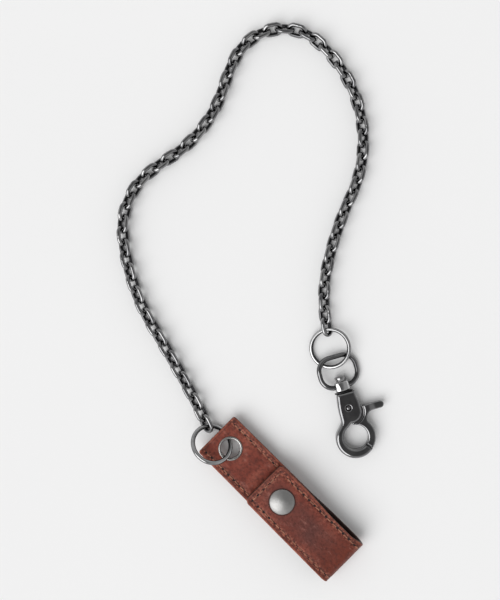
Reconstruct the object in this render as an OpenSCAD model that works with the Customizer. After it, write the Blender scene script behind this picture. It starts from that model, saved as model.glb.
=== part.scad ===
// Wallet chain: a snap-closed leather belt loop, a run of cable chain and a swivelling trigger hook.
// Lengths are in millimetres. The strap lies along +X, the chain lies to its left, and Z is up.

/* [Belt loop] */
// Length of the folded strap, from its grommet end to the outside of its fold
strap_len = 90.5; // [86:0.5:110]
// Width of the strap at its grommet end
end_w = 25.2; // [24:0.1:27]
// Width of the strap at its fold
fold_w = 26; // [24:0.5:32]
// Thickness of one leather ply
ply_t = 1.1; // [0.9:0.05:1.2]
// Length of the flap, from the outside of the fold to its free end
flap_len = 58; // [52:0.5:62]
// Corner radius of the flap's free end
flap_corner = 3; // [1:0.25:4]
// Corner radius of the grommet end
end_corner = 1.2; // [0.5:0.1:2.5]
// Height at which the back panel rides above the surface it lies on
back_z = 4.4; // [4.1:0.1:5]
// Room between the two panels where the snap closes
snap_gap = 2.4; // [2.2:0.1:3]
// Length over which the back panel comes down to open the loop
drop_len = 22; // [16:1:26]
// Slit left at the bend line of the flap
bend_gap = 0.15; // [0.1:0.05:0.3]

/* [Stitching] */
// Distance of the seams from the edges
seam_inset = 2.8; // [2.4:0.1:3.4]
// Diameter of the sewing thread
thread_d = 0.8; // [0.6:0.05:0.9]
// Width of the groove that the thread lies in, beyond the thread itself
groove_room = 0.1; // [0.1:0.05:0.3]
// Depth of that groove
groove_depth = 0.45; // [0.35:0.05:0.5]

/* [Snap] */
// Distance of the snap from the flap's free end
snap_from_flap_end = 13.5; // [12:0.25:16]
// Diameter of the snap cap
cap_d = 12.5; // [11:0.25:13.5]
// Height of the cap's upright rim
cap_rim = 0.4; // [0.3:0.05:0.6]
// Height of the cap's dome above its rim
cap_dome = 1.8; // [1.4:0.1:2.2]
// Diameter of the cap's and the post's barrels
barrel_d = 3.8; // [3.4:0.1:4]
// Diameter of the socket under the flap
socket_d = 10; // [9:0.25:11]
// Height of the socket
socket_h = 1.7; // [1.6:0.05:1.8]
// Depth of the socket's bore
socket_depth = 1.3; // [1.3:0.05:1.4]
// Diameter of the stud's knob
knob_d = 4.6; // [4.4:0.1:4.8]
// Room round the knob inside the socket
knob_room = 0.2; // [0.2:0.05:0.3]
// Diameter of the stud's flange
stud_d = 9; // [8:0.25:10]
// Thickness of the stud's flange
stud_t = 0.5; // [0.4:0.05:0.55]
// Height of the stud's knob above the back panel
knob_h = 1.8; // [1.6:0.05:1.9]
// Diameter of the post's flange behind the back panel
post_d = 9.5; // [8:0.25:11]
// Thickness of the post's flange
post_t = 0.7; // [0.5:0.05:1]

/* [Grommet] */
// Distance of the grommet from the end of the strap
grommet_x = 10; // [8.5:0.25:12]
// Bore of the grommet
grommet_d = 9.6; // [9.4:0.1:10.2]
// Wall of the grommet's barrel
grommet_wall = 0.45; // [0.35:0.05:0.5]
// Radius of the rolled rims
rim_r = 0.65; // [0.55:0.05:0.7]
// Fit between barrel, washer and leather
grommet_fit = 0.05; // [0.02:0.01:0.1]

/* [Rings] */
// Mean diameter of the ring in the grommet
strap_ring_d = 19.4; // [19:0.1:20]
// Wire of the ring in the grommet
strap_ring_wire = 2.2; // [2:0.1:2.3]
// Mean diameter of the ring between chain and hook
clip_ring_d = 19; // [18:0.25:21]
// Wire of the ring between chain and hook
clip_ring_wire = 2; // [1.8:0.1:2.2]

/* [Chain] */
// Number of pairs of links that follow the first link
pair_count = 34; // [34:1:34]
// Wire of the links
link_wire = 2; // [1.8:0.05:2.1]
// Distance from one link to the next
link_pitch = 6.1; // [5.9:0.05:6.4]
// Outside width of a link
link_w = 7.4; // [7.2:0.05:7.8]
// Slack between touching links and rings
link_gap = 0.4; // [0.3:0.05:0.5]
// Extra slack of the end links on their rings
ring_slack = 0.3; // [0.2:0.05:0.4]
// Heading of the first link, in degrees from +X
start_heading = 160.5; // [158:0.5:164]

/* [Hook] */
// Heading of the hook, in degrees from +X
hook_heading = -30; // [-34:1:-26]
// Thickness of the hook's body
hook_t = 5.6; // [5.4:0.1:5.8]
// Width of the hook's top
hook_top_w = 9.2; // [8.5:0.1:10]
// Width of the hook's cheeks
cheek_w = 11.4; // [11:0.1:11.8]
// Offset of the cheeks towards the trigger
cheek_shift = 0.6; // [0.4:0.1:0.7]
// Distance of the trigger pin from the top of the hook
pivot_u = 7.8; // [7.6:0.1:8]
// Distance of the hook's opening from the top of the hook
hole_u = 22.8; // [22.5:0.1:23.2]
// Diameter of the hook's opening
hole_d = 12.2; // [12:0.1:12.4]
// Outside diameter of the hook's bow
bow_d = 19.8; // [19.4:0.1:20.4]
// Offset of the bow towards the arm, which thickens that side
bow_shift = 0.3; // [0.2:0.1:0.6]
// Width of the slot that the trigger swings in
slot_w = 3.2; // [3.1:0.05:3.4]
// Diameter of the trigger pin
pin_d = 2.8; // [2.6:0.1:3]
// Radial running fit on pin and swivel
running_fit = 0.06; // [0.04:0.01:0.09]

/* [Trigger] */
// Side clearance of the trigger in its slot
trigger_side = 0.2; // [0.15:0.05:0.3]
// Diameter of the trigger's hub
hub_d = 6; // [5.8:0.1:6.2]
// Thickness of the gate
gate_t = 4.6; // [4.2:0.1:5]
// Radial width of the gate
gate_w = 3.8; // [3.5:0.1:4]
// Width of the thumb tab
tab_w = 3.6; // [3.2:0.1:3.8]
// Distance of the tab's tip from the hook's middle line
tab_reach = 17.8; // [16:0.1:18.5]
// Diameter of the spring pocket in the hub
pocket_d = 5; // [4.9:0.05:5.1]
// Depth of the spring pocket
pocket_depth = 2; // [1.9:0.05:2.1]
// Wire of the trigger spring
spring_wire = 0.45; // [0.35:0.05:0.5]
// Mean diameter of the trigger spring
spring_d = 3.95; // [3.9:0.05:4]
// Turns of the trigger spring
spring_turns = 2; // [1:0.5:2]

/* [Swivel] */
// Wire of the swivel eye
eye_wire = 2.4; // [2.2:0.1:2.5]
// Mean width of the swivel eye
eye_w = 19.4; // [18.6:0.1:20.4]
// Mean length of the swivel eye
eye_len = 15.2; // [15:0.1:16]
// Bend radius of the eye's corners
eye_corner = 6.5; // [5.5:0.1:7]
// Diameter of the eye's boss
boss_d = 7.6; // [7:0.1:8]
// Thickness of the eye's boss
boss_t = 4.4; // [4:0.1:4.6]
// Length of the eye's boss
boss_len = 4.8; // [4.4:0.1:5]
// Diameter of the swivel post
stem_d = 3.38; // [3.2:0.02:3.5]
// Diameter of the swivel post's head
head_d = 5.4; // [5:0.1:6]
// Height of the swivel post's head
head_h = 2.6; // [2:0.1:3]
// Diameter of the swivel washer
washer_d = 9.2; // [8:0.1:9.6]
// Thickness of the swivel washer
washer_t = 0.6; // [0.5:0.05:0.7]
// Play along the swivel
swivel_play = 0.3; // [0.2:0.05:0.4]

/* [Hidden] */
$fn = 64;

// heights of the belt loop
panel_t = 2 * ply_t;
back_top = back_z + panel_t;
flap_under = back_top + snap_gap;
flap_top = flap_under + panel_t;
fold_r = flap_top / 2;
fold_x = strap_len - fold_r;
flap_end = strap_len - flap_len;
snap_x = flap_end + snap_from_flap_end;
snap_room = 1.25;
straight_end = snap_x + post_d / 2 + snap_room;
fold_steps = 20;
drop_steps = 14;
corner_steps = 6;

// seams
thread_r = thread_d / 2;
groove_w = thread_d + groove_room;
thread_sink = groove_depth - thread_r;
taper = atan2((fold_w - end_w) / 2, strap_len);
seam_start = seam_inset;
back_seam_end = straight_end;
flap_seam_start = flap_end + seam_inset;
flap_seam_end = fold_x - seam_inset / 2;
side_seam_start = flap_seam_start + thread_d;

// grommet and strap ring
grommet_r = grommet_d / 2;
barrel_r = grommet_r + grommet_wall;
leather_hole_r = barrel_r + grommet_fit;
washer_in_r = barrel_r + grommet_fit;
ring_tip = -34;
ring_turn = 31;
ring_drop = 0.45;
ring_phase = 110;
strap_ring_r = strap_ring_d / 2;
ring_hold = [grommet_x, 0, back_z + ply_t - ring_drop];

// chain
link_count = 2 * pair_count + 1;
link_wire_r = link_wire / 2;
link_bend_r = (link_w - link_wire) / 2;
link_side = link_pitch + link_wire + link_gap - 2 * link_bend_r;
link_roll = 45;
chain_z = link_bend_r * sin(link_roll) + link_wire_r;
// the route: runs of links, each with the turn from one link to the next in degrees
chain_runs = [
    [4, 0.9],
    [5, 0.4],
    [8, -3.2],
    [6, -9.5],
    [2, -3],
    [7, 5.5],
    [1, 0],
    [2, -4],
    [8, -13],
    [14, -5.3],
    [6, 2.2],
    [5, 4.5]
];
turns = [for (run = chain_runs) for (i = [1:run[0]]) run[1]];
headings = [for (i = 0, h = start_heading; i < link_count;
    h = h + turns[min(i, len(turns) - 1)], i = i + 1) h];

// the tilt at which the strap ring meets the chain's height
tip_part = strap_ring_r * sin(ring_phase) * sin(ring_tip);
swing_part = strap_ring_r * (1 - cos(ring_phase));
ring_lean = asin((chain_z - ring_hold[2]) / norm([tip_part, swing_part])) - atan2(tip_part, swing_part);

function along(heading) = [cos(heading), sin(heading), 0];
function turned_x(p, a) = [p[0], p[1] * cos(a) - p[2] * sin(a), p[1] * sin(a) + p[2] * cos(a)];
function turned_y(p, a) = [p[0] * cos(a) + p[2] * sin(a), p[1], p[2] * cos(a) - p[0] * sin(a)];
function turned_z(p, a) = [p[0] * cos(a) - p[1] * sin(a), p[0] * sin(a) + p[1] * cos(a), p[2]];
function on_strap_ring(phase) = ring_hold + turned_z(turned_y(turned_x(
    [strap_ring_r * (cos(phase) - 1), strap_ring_r * sin(phase), 0], ring_tip), ring_lean), ring_turn);

ring_meet = on_strap_ring(ring_phase);
chain_start = ring_meet - along(headings[0]) * ((strap_ring_wire + link_gap) / 2 + ring_slack);
pivots = [for (i = 0, p = chain_start; i <= link_count;
    p = p + along(headings[min(i, link_count - 1)]) * link_pitch, i = i + 1) p];
last_heading = headings[link_count - 1];

// clip ring
clip_ring_r = clip_ring_d / 2;
clip_turn = -2;
clip_heading = last_heading + clip_turn;
clip_lean = 11;
clip_meet = pivots[link_count] - along(last_heading) * ((clip_ring_wire + link_gap) / 2 + ring_slack);
clip_mid = clip_meet + along(clip_heading) * clip_ring_r;

// swivel, in the hook's own frame: u along the hook, v to its left, w up
pivot_at = [pivot_u, 0, 0];
washer_u = -0.1;
boss_u = washer_u - washer_t - swivel_play;
boss_top = boss_u - boss_len;
eye_low = boss_u - eye_wire;
eye_high = eye_low - eye_len;
eye_lean = -10;
eye_overlap = 4.7;
eye_shift = 1.5;
hook_left = along(hook_heading + 90);
eye_hold = clip_mid + along(clip_heading) * eye_overlap + hook_left * eye_shift;
hook_at = eye_hold - along(hook_heading) * eye_high;
stem_r = stem_d / 2;
swivel_r = stem_r + running_fit;
head_u = boss_top - swivel_play / 2;

// hook
hole_r = hole_d / 2;
hole_overlap = 0.6;
inside_r = hole_r - hole_overlap;
bow_r = bow_d / 2;
bow_drop = 0.6;
bow_at = [hole_u + bow_drop, -bow_shift];
cheek_r = cheek_w / 2;
nose_gap = 2.2;
nose_u = pivot_u + nose_gap;
nose_end = nose_u + cheek_r;
tip_angle = 41;
arm_angle = -112;
arm_pull = 2.7;
arm_start = nose_u + cheek_r / 2;
arm_join = bow_at + bow_r * [cos(arm_angle), sin(arm_angle)];
arm_in = arm_join - arm_pull * [-sin(arm_angle), cos(arm_angle)];
waist = cheek_shift - cheek_r;
arm_inside_angle = 205;
arm_steps = 12;
reach = 40;

// trigger
pin_r = pin_d / 2;
hub_r = hub_d / 2;
hub_room = 0.3;
slot_r = hub_r + hub_room;
slot_inside_angle = 184;
neck_inside_angle = 178;
neck_low_angle = -51;
neck_high_angle = 123;
trigger_t = slot_w - 2 * trigger_side;
gate_r = hole_r + gate_w;
gate_gap_angle = 1;
gate_thick_angle = 70;
gate_sweep_angle = 86;
gate_lap_angle = 4;
gate_start_angle = tip_angle + gate_gap_angle;
thick_end_angle = gate_start_angle + gate_thick_angle;
gate_end_angle = gate_start_angle + gate_sweep_angle;
lap_angle = gate_end_angle - gate_lap_angle;
tab_r = tab_w / 2;
tab_gap = 2.3;
tab_u = pivot_u + tab_gap;
tab_root = 7;
tab_fillet = 4.6;
tab_foot = [tab_u + tab_r, tab_root + tab_fillet];
neck_pull = 2;
neck_sink = 0.25;
gate_join = on_hole(gate_r - neck_sink, lap_angle);
gate_in = gate_join - neck_pull * [sin(lap_angle), -cos(lap_angle)];
fillet_steps = 8;

function on_hub(r, a) = [pivot_u + r * cos(a), r * sin(a)];
function on_hole(r, a) = [hole_u + r * cos(a), r * sin(a)];

// the box that the object fills, which is centred on the origin
box_x = [min([for (p = pivots) p[0]]) - link_w / 2 + link_wire_r / 2, strap_len];
ring_low = min([for (a = [0:5:355]) on_strap_ring(a)[1]]) - strap_ring_wire / 2;
box_y = [min(-fold_w / 2, ring_low), max([for (p = pivots) p[1]]) + link_w / 2 - link_wire_r / 2];
box_mid = [(box_x[0] + box_x[1]) / 2, (box_y[0] + box_y[1]) / 2, 0];

function pair_name(k) = str("link_pair_", k < 10 ? "0" : "", k);

leather = [0.42, 0.19, 0.12];
thread = [0.6, 0.36, 0.2];
nickel = [0.45, 0.44, 0.42];
gunmetal = [0.3, 0.3, 0.31];

module in_row() {
    translate(-box_mid) children();
}

// a flat slab in XY between two heights
module slab(points, low, high) {
    translate([0, 0, low]) linear_extrude(height = high - low) polygon(points);
}

// a profile in XZ, carried across the strap
module across(points) {
    rotate([90, 0, 0]) linear_extrude(height = 2 * fold_w, center = true) polygon(points);
}

function arc(mid, r, from, to, steps) =
    [for (i = [0:steps]) let (a = from + (to - from) * i / steps) mid + r * [cos(a), sin(a)]];

// a smooth curve that leaves its start towards one point and comes to its end from another
function curve(from, first, second, to, steps) = [for (i = [0:steps]) let (t = i / steps, s = 1 - t)
    s * s * s * from + 3 * s * s * t * first + 3 * s * t * t * second + t * t * t * to];

function half_width(x) = end_w / 2 + (fold_w - end_w) / 2 * x / strap_len;

// the plan of a panel whose left end has rounded corners
function panel_plan(x_end, corner, x_fold) = concat(
    arc([x_end + corner, half_width(x_end) - corner], corner, 90 + taper, 180, corner_steps),
    arc([x_end + corner, corner - half_width(x_end)], corner, 180, 270 - taper, corner_steps),
    [[x_fold, -half_width(x_fold)], [x_fold, half_width(x_fold)]]
);

// height of the underside of the back panel, which drops smoothly to open the loop
function eased(t) = t * t * (3 - 2 * t);
function back_under(x) = back_z * (1 - eased(min(max((x - straight_end) / drop_len, 0), 1)));

// one ply of the back panel, from a depth above the panel's outside
function back_line(depth) = concat(
    [[0, back_z + depth]],
    [for (i = [0:drop_steps]) let (x = straight_end + drop_len * i / drop_steps) [x, back_under(x) + depth]],
    arc([fold_x, fold_r], fold_r - depth, -90, 90, fold_steps)
);
function reversed(list) = [for (i = [len(list) - 1:-1:0]) list[i]];

module back_ply(depth) {
    intersection() {
        across(concat(back_line(depth), reversed(back_line(depth + ply_t))));
        slab(panel_plan(0, end_corner, strap_len), -1, flap_top + 1);
    }
}

module upright(r, low, high) {
    translate([0, 0, low]) cylinder(r = r, h = high - low);
}

module at_snap() {
    translate([snap_x, 0, 0]) children();
}

module at_grommet() {
    translate([grommet_x, 0, 0]) children();
}

// runs a child, drawn along +X, along both seams of a panel
module along_seams(from) {
    for (side = [-1, 1])
        translate([from, side * (half_width(from) - seam_inset), 0])
            rotate([0, 0, side * taper]) children();
}

module rod(length, r) {
    rotate([0, 90, 0]) cylinder(r = r, h = length, $fn = 16);
}

module groove(length, top) {
    translate([-groove_w / 2, -groove_w / 2, top - groove_depth])
        cube([length + groove_w, groove_w, 2 * groove_depth]);
}

module back_outer() {
    color(leather) in_row() difference() {
        back_ply(0);
        at_snap() upright(barrel_d / 2, 0, flap_under);
        at_grommet() upright(leather_hole_r, 0, flap_under);
    }
}

module back_inner() {
    color(leather) in_row() difference() {
        back_ply(ply_t);
        at_snap() upright(barrel_d / 2, 0, flap_under);
        at_grommet() upright(leather_hole_r, 0, flap_under);
        along_seams(seam_start) groove(back_seam_end - seam_start, back_top);
    }
}

module back_stitching() {
    color(thread) in_row() along_seams(seam_start)
        translate([0, 0, back_top - thread_sink]) rod(back_seam_end - seam_start, thread_r);
}

module flap_seams(top) {
    along_seams(flap_seam_start) groove(flap_seam_end - flap_seam_start, top);
    translate([flap_seam_start, seam_inset - half_width(flap_seam_start), 0])
        rotate([0, 0, 90]) groove(2 * (half_width(flap_seam_start) - seam_inset), top);
}

module flap_outer() {
    color(leather) in_row() difference() {
        slab(panel_plan(flap_end, flap_corner, fold_x - bend_gap), flap_under + ply_t, flap_top);
        at_snap() upright(barrel_d / 2, 0, flap_top + 1);
        flap_seams(flap_top);
    }
}

module flap_inner() {
    color(leather) in_row() difference() {
        slab(panel_plan(flap_end, flap_corner, fold_x - bend_gap), flap_under, flap_under + ply_t);
        at_snap() upright(barrel_d / 2, 0, flap_top + 1);
    }
}

module flap_stitching() {
    cross = half_width(flap_seam_start) - seam_inset;
    color(thread) in_row() translate([0, 0, flap_top - thread_sink]) {
        along_seams(side_seam_start) rod(flap_seam_end - side_seam_start, thread_r);
        translate([flap_seam_start, -cross, 0]) rotate([0, 0, 90]) rod(2 * cross, thread_r);
    }
}

module snap_cap() {
    cap_r = cap_d / 2;
    dome_r = (cap_r * cap_r + cap_dome * cap_dome) / (2 * cap_dome);
    color(nickel) in_row() at_snap() union() {
        upright(cap_r, flap_top, flap_top + cap_rim);
        intersection() {
            translate([0, 0, flap_top + cap_rim + cap_dome - dome_r]) sphere(r = dome_r);
            upright(cap_r, flap_top + cap_rim / 2, flap_top + cap_rim + cap_dome);
        }
        upright(barrel_d / 2, flap_under, flap_top + cap_rim / 2);
    }
}

module snap_socket() {
    color(nickel) in_row() at_snap() difference() {
        upright(socket_d / 2, flap_under - socket_h, flap_under);
        upright(knob_d / 2 + knob_room, flap_under - socket_h - 1, flap_under - socket_h + socket_depth);
    }
}

module snap_stud() {
    color(nickel) in_row() at_snap() union() {
        upright(stud_d / 2, back_top, back_top + stud_t);
        upright(knob_d / 2, back_top, back_top + knob_h);
    }
}

module snap_post() {
    color(nickel) in_row() at_snap() union() {
        upright(post_d / 2, back_z - post_t, back_z);
        upright(barrel_d / 2, back_z - post_t, back_top);
    }
}

// a ring of half-round section, lying on a flat face
module rolled_rim(mid_r, face, side) {
    translate([0, 0, face]) intersection() {
        rotate_extrude() translate([mid_r, 0]) circle(r = rim_r, $fn = 32);
        upright(mid_r + 2 * rim_r, side > 0 ? 0 : -2 * rim_r, side > 0 ? 2 * rim_r : 0);
    }
}

module grommet() {
    color(nickel) in_row() at_grommet() union() {
        rolled_rim(grommet_r + rim_r, back_top, 1);
        difference() {
            upright(barrel_r, back_z - rim_r, back_top + rim_r / 4);
            upright(grommet_r, back_z - 2 * rim_r, back_top + rim_r);
        }
    }
}

module grommet_washer() {
    color(nickel) in_row() at_grommet() rolled_rim(washer_in_r + rim_r, back_z, -1);
}

module wire_ring(mean_r, wire) {
    rotate_extrude() translate([mean_r, 0]) circle(r = wire / 2, $fn = 32);
}

module strap_ring() {
    color(gunmetal) in_row() translate(ring_hold) rotate([ring_tip, ring_lean, ring_turn])
        translate([-strap_ring_r, 0, 0]) wire_ring(strap_ring_r, strap_ring_wire);
}

// one link, with its middle at the origin and its length along +X
module link() {
    union() {
        for (end = [-1, 1]) {
            translate([end * link_side / 2, 0, 0]) rotate([0, 0, -90 * end])
                rotate_extrude(angle = 180) translate([link_bend_r, 0]) circle(r = link_wire_r, $fn = 32);
            translate([-link_side / 2, end * link_bend_r, 0]) rotate([0, 90, 0])
                cylinder(r = link_wire_r, h = link_side, $fn = 32);
        }
    }
}

module chain_link(i) {
    translate((pivots[i] + pivots[i + 1]) / 2)
        rotate([i % 2 == 0 ? -link_roll : link_roll, 0, headings[i]]) link();
}

module first_link() {
    color(gunmetal) in_row() chain_link(0);
}

module link_pair(k) {
    color(gunmetal) in_row() {
        chain_link(2 * k - 1);
        chain_link(2 * k);
    }
}

module clip_ring() {
    color(gunmetal) in_row() translate(clip_mid) rotate([clip_lean, 0, clip_heading])
        wire_ring(clip_ring_r, clip_ring_wire);
}

module in_hook() {
    translate(hook_at) rotate([0, 0, hook_heading]) children();
}

module along_u(r, from, to) {
    translate([from, 0, 0]) rotate([0, 90, 0]) cylinder(r = r, h = to - from);
}

module swivel_eye() {
    flat = eye_w / 2 - eye_corner;
    side = eye_len - 2 * eye_corner;
    wire_r = eye_wire / 2;
    color(gunmetal) in_row() in_hook() rotate([eye_lean, 0, 0]) difference() {
        union() {
            for (v = [-1, 1]) {
                translate([eye_high + eye_corner, v * flat, 0]) rotate([0, 0, v > 0 ? 90 : 180])
                    rotate_extrude(angle = 90) translate([eye_corner, 0]) circle(r = wire_r, $fn = 32);
                translate([eye_low - eye_corner, v * flat, 0]) rotate([0, 0, v > 0 ? 0 : 270])
                    rotate_extrude(angle = 90) translate([eye_corner, 0]) circle(r = wire_r, $fn = 32);
                translate([eye_high + eye_corner, v * eye_w / 2, 0]) rod_u(side, wire_r);
            }
            for (u = [eye_high, eye_low])
                translate([u, flat, 0]) rotate([90, 0, 0]) cylinder(r = wire_r, h = 2 * flat, $fn = 32);
            intersection() {
                along_u(boss_d / 2, boss_top, boss_u);
                translate([boss_top, -boss_d, -boss_t / 2]) cube([boss_len, 2 * boss_d, boss_t]);
            }
        }
        along_u(swivel_r, boss_top - 1, boss_u + 1);
    }
}

module rod_u(length, r) {
    rotate([0, 90, 0]) cylinder(r = r, h = length, $fn = 32);
}

module swivel_post() {
    color(gunmetal) in_row() in_hook() union() {
        along_u(stem_r, head_u - head_h / 2, 0);
        along_u(head_d / 2, head_u - head_h, head_u);
    }
}

module swivel_washer() {
    color(gunmetal) in_row() in_hook() difference() {
        intersection() {
            along_u(washer_d / 2, washer_u - washer_t, washer_u);
            translate([washer_u - washer_t, -washer_d, -boss_t / 2]) cube([washer_t, 2 * washer_d, boss_t]);
        }
        along_u(swivel_r, washer_u - 2 * washer_t, washer_u + washer_t);
    }
}

module hook_slab(points, thick) {
    translate([0, 0, -thick / 2]) linear_extrude(height = thick) polygon(points);
}

module hook_disc(at, r, thick) {
    translate([at[0], at[1], -thick / 2]) cylinder(r = r, h = thick);
}

// one side of the cheeks, which swells from the hook's top
function cheek_curve(side) = curve(
    [0, cheek_shift + side * hook_top_w / 2],
    [nose_u / 3, cheek_shift + side * (hook_top_w + cheek_w) / 4],
    [nose_u * 2 / 3, cheek_shift + side * cheek_r],
    [nose_u, cheek_shift + side * cheek_r],
    fillet_steps
);

module hook_body() {
    color(gunmetal) in_row() in_hook() difference() {
        union() {
            hook_slab(concat(
                cheek_curve(-1),
                curve([arm_start, waist], [arm_start + arm_pull, waist], arm_in, arm_join, arm_steps),
                [[hole_u, -hole_r - hole_overlap], on_hole(inside_r, arm_inside_angle)],
                [[nose_end - hole_overlap, cheek_shift]],
                reversed(cheek_curve(1))
            ), hook_t);
            hook_disc([nose_u, cheek_shift], cheek_r, hook_t);
            difference() {
                hook_disc(bow_at, bow_r, hook_t);
                hook_slab([
                    [hole_u, 0],
                    on_hole(reach, tip_angle),
                    [hole_u, reach],
                    [hole_u - reach, 0],
                    on_hole(reach, arm_angle)
                ], 2 * hook_t);
            }
        }
        hook_disc([hole_u, 0], hole_r, 2 * hook_t);
        hook_disc(pivot_at, slot_r, slot_w);
        hook_slab([
            [pivot_u - slot_r, 0],
            [pivot_u - slot_r, reach],
            [hole_u, reach],
            [hole_u, hub_r],
            on_hole(inside_r, slot_inside_angle),
            on_hub(slot_r, neck_low_angle)
        ], slot_w);
        hook_disc(pivot_at, pin_r, 2 * hook_t);
    }
}

module gate_sector(to, thick) {
    difference() {
        intersection() {
            hook_disc([hole_u, 0], gate_r, thick);
            hook_slab([
                [hole_u, 0],
                on_hole(reach, gate_start_angle),
                on_hole(reach, (gate_start_angle + to) / 2),
                on_hole(reach, to)
            ], thick);
        }
        hook_disc([hole_u, 0], hole_r, 2 * thick);
    }
}

module trigger() {
    color(gunmetal) in_row() in_hook() difference() {
        union() {
            hook_disc(pivot_at, hub_r, trigger_t);
            difference() {
                hook_slab(concat(
                    [on_hub(hub_r - neck_sink, neck_high_angle), [tab_u - tab_r, tab_root]],
                    curve(tab_foot, tab_foot - [0, tab_r + neck_pull / 2], gate_in, gate_join, fillet_steps),
                    [on_hole(inside_r, lap_angle), on_hole(inside_r, neck_inside_angle)],
                    [on_hub(hub_r - neck_sink, neck_low_angle)]
                ), trigger_t);
                hook_disc([hole_u, 0], hole_r, hook_t);
            }
            hook_slab([
                [tab_u - tab_r, tab_root],
                [tab_u + tab_r, tab_root],
                [tab_u + tab_r, tab_reach - tab_r],
                [tab_u - tab_r, tab_reach - tab_r]
            ], trigger_t);
            hook_disc([tab_u, tab_reach - tab_r], tab_r, trigger_t);
            gate_sector(gate_end_angle, trigger_t);
            gate_sector(thick_end_angle, gate_t);
        }
        hook_disc(pivot_at, pin_r + running_fit, 2 * hook_t);
        translate([pivot_u, 0, -trigger_t]) cylinder(r = pocket_d / 2, h = trigger_t / 2 + pocket_depth);
    }
}

module trigger_pin() {
    color(nickel) in_row() in_hook() hook_disc(pivot_at, pin_r, hook_t);
}

// points of a coil, as rings of corners round its path
coil_sides = 6;
coil_rings = 8 * spring_turns;
coil_gap = 0.1;
coil_pitch = spring_wire + coil_gap;
coil_low = -trigger_t / 2 + spring_wire / 2;
function coil_corner(ring, corner) =
    let (a = 45 * ring, b = 360 * corner / coil_sides, r = spring_d / 2 + spring_wire / 2 * cos(b))
    [pivot_u + r * cos(a), r * sin(a), coil_low + coil_pitch * ring / 8 + spring_wire / 2 * sin(b)];

module trigger_spring() {
    corners = [for (ring = [0:coil_rings]) for (c = [0:coil_sides - 1]) coil_corner(ring, c)];
    walls = [for (ring = [0:coil_rings - 1]) for (c = [0:coil_sides - 1])
        let (n = (c + 1) % coil_sides, low = ring * coil_sides, high = low + coil_sides)
        each [[low + c, high + n, low + n], [low + c, high + c, high + n]]];
    last = coil_rings * coil_sides;
    caps = [for (c = [1:coil_sides - 2]) each [[0, c, c + 1], [last, last + c + 1, last + c]]];
    color(nickel) in_row() in_hook() polyhedron(points = corners, faces = concat(walls, caps));
}

back_outer();
back_inner();
back_stitching();
flap_outer();
flap_inner();
flap_stitching();
snap_cap();
snap_socket();
snap_stud();
snap_post();
grommet();
grommet_washer();
strap_ring();
first_link();
for (k = [1:pair_count]) link_pair(k);
clip_ring();
swivel_eye();
swivel_post();
swivel_washer();
hook_body();
trigger();
trigger_pin();
trigger_spring();
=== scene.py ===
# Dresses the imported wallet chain: leather, thread, plated metal, soft light and an overhead camera.
import math

import bmesh
import bpy
import numpy as np
from mathutils import Matrix, Vector, noise


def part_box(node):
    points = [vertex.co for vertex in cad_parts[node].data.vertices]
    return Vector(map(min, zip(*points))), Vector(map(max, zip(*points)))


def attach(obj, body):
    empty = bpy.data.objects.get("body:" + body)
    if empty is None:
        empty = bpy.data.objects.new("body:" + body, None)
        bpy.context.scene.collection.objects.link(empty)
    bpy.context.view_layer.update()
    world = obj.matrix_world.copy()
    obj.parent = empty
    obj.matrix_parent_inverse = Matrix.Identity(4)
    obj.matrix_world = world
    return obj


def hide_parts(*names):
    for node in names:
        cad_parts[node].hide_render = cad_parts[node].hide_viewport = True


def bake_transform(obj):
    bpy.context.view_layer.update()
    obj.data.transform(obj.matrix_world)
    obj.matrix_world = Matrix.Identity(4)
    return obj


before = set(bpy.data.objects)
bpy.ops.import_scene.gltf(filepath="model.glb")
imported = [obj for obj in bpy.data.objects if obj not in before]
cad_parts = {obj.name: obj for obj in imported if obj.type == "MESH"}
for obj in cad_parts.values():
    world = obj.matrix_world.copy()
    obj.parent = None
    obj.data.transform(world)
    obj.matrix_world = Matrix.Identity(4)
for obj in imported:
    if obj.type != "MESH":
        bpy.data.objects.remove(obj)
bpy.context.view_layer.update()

MM = 0.001

# Sizes in millimetres, in the strap's own frame: the grommet end at x = 0, the middle line at y = 0

# Strap
STRAP_LEN = 90.5
END_W = 25.2
FOLD_W = 26.0
PLY_T = 1.1
PANEL_T = 2 * PLY_T
FLAP_LEN = 58.0
FLAP_CORNER = 3.0
END_CORNER = 1.2
BACK_Z = 4.4
SNAP_GAP = 2.4
DROP_LEN = 22.0
BACK_TOP = BACK_Z + PANEL_T
FLAP_UNDER = BACK_TOP + SNAP_GAP
FLAP_TOP = FLAP_UNDER + PANEL_T
FOLD_R = FLAP_TOP / 2
FOLD_X = STRAP_LEN - FOLD_R
FLAP_END = STRAP_LEN - FLAP_LEN
# Snap, seams and grommet
SNAP_X = FLAP_END + 13.5
CAP_R = 6.25
STRAIGHT_END = SNAP_X + 6.0
SEAM_INSET = 2.8
STITCH_PITCH = 3.9
THREAD_R = 0.30
EDGE_R = 0.5
GROMMET_X = 10.0
GROMMET_R = 4.8
GROMMET_WALL = 0.45
RIM_R = 0.65
# Chain, with runs of links and the turn in degrees from each link to the next
LINK_WIRE_R = 1.0
LINK_BEND_R = 2.7
LINK_PITCH = 6.1
LINK_GAP = 0.4
RING_SLACK = 0.3
LINK_SIDE = LINK_PITCH + 2 * LINK_WIRE_R + LINK_GAP - 2 * LINK_BEND_R
LINK_ROLL = 45.0
CHAIN_Z = LINK_BEND_R * math.sin(math.radians(LINK_ROLL)) + LINK_WIRE_R
CHAIN_RUNS = [
    (4, 0.9), (5, 0.4), (8, -3.2), (6, -9.5), (2, -3.0), (7, 5.5),
    (1, 0.0), (2, -4.0), (8, -13.0), (14, -5.3), (6, 2.2), (5, 4.5),
]
START_HEADING = 160.5
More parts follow.
